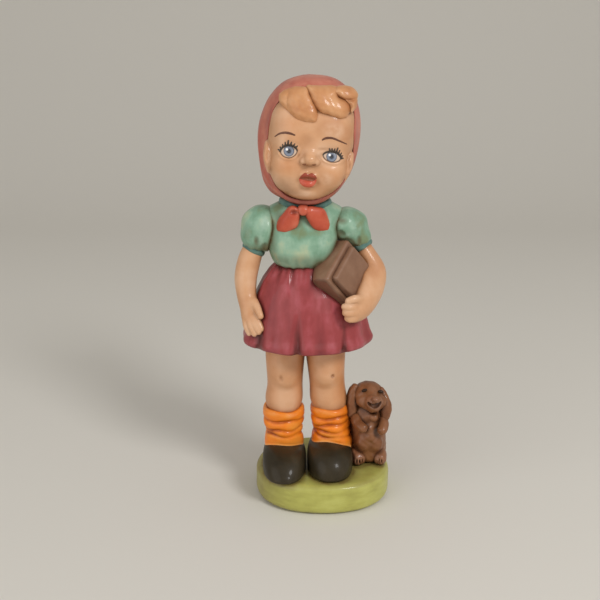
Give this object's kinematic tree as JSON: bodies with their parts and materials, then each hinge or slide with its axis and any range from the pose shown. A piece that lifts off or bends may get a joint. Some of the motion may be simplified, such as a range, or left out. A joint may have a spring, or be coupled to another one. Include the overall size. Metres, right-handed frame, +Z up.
{
  "type": "ceramic schoolgirl figurine",
  "caption": "Glazed ceramic ornament: a standing schoolgirl in a headscarf holding books, with a begging puppy at her feet, on a hollow oval base.",
  "frame": {"origin": "centre of the oval base's underside", "axes": "+Z up, -Y the way the figure faces, +X her left"},
  "size_m": [0.1053, 0.082, 0.2806],
  "materials": {
    "base_green": "hand-painted, uneven clear glaze with a brown wash in the creases",
    "shoe_black": "hand-painted, uneven clear glaze with a brown wash in the creases",
    "sock_orange": "hand-painted, uneven clear glaze with a brown wash in the creases",
    "skin": "hand-painted, uneven clear glaze with a brown wash in the creases",
    "skirt_red": "hand-painted, uneven clear glaze with a brown wash in the creases",
    "blouse_teal": "hand-painted, uneven clear glaze with a brown wash in the creases",
    "trim_teal": "hand-painted, uneven clear glaze with a brown wash in the creases",
    "book_brown": "hand-painted, uneven clear glaze with a brown wash in the creases",
    "bow_red": "hand-painted, uneven clear glaze with a brown wash in the creases",
    "scarf_red": "hand-painted, uneven clear glaze with a brown wash in the creases",
    "hair_tan": "hand-painted, uneven clear glaze with a brown wash in the creases",
    "dog_brown": "hand-painted, uneven clear glaze with a brown wash in the creases"
  },
  "bodies": {
    "root": {"base": "base_green", "right_shoe": "shoe_black", "left_shoe": "shoe_black", "right_sock": "sock_orange", "left_sock": "sock_orange", "right_leg": "skin", "left_leg": "skin", "skirt": "skirt_red", "bodice": "blouse_teal", "collar": "trim_teal", "right_sleeve": "blouse_teal", "left_sleeve": "blouse_teal", "right_cuff": "trim_teal", "left_cuff": "trim_teal", "right_arm": "skin", "left_arm": "skin", "rear_book": "book_brown", "front_book": "book_brown", "scarf_knot": "bow_red", "scarf_right_tail": "bow_red", "scarf_left_tail": "bow_red", "head": "skin", "headscarf": "scarf_red", "fringe_right_lock": "hair_tan", "fringe_left_lock": "hair_tan", "fringe_top_curl": "hair_tan", "fringe_side_lock": "hair_tan", "dog_body": "dog_brown", "dog_head": "dog_brown", "dog_right_ear": "dog_brown", "dog_left_ear": "dog_brown", "dog_right_forepaw": "dog_brown", "dog_left_forepaw": "dog_brown", "dog_right_foot": "dog_brown", "dog_left_foot": "dog_brown", "dog_tail": "dog_brown"}
  },
  "joints": []
}
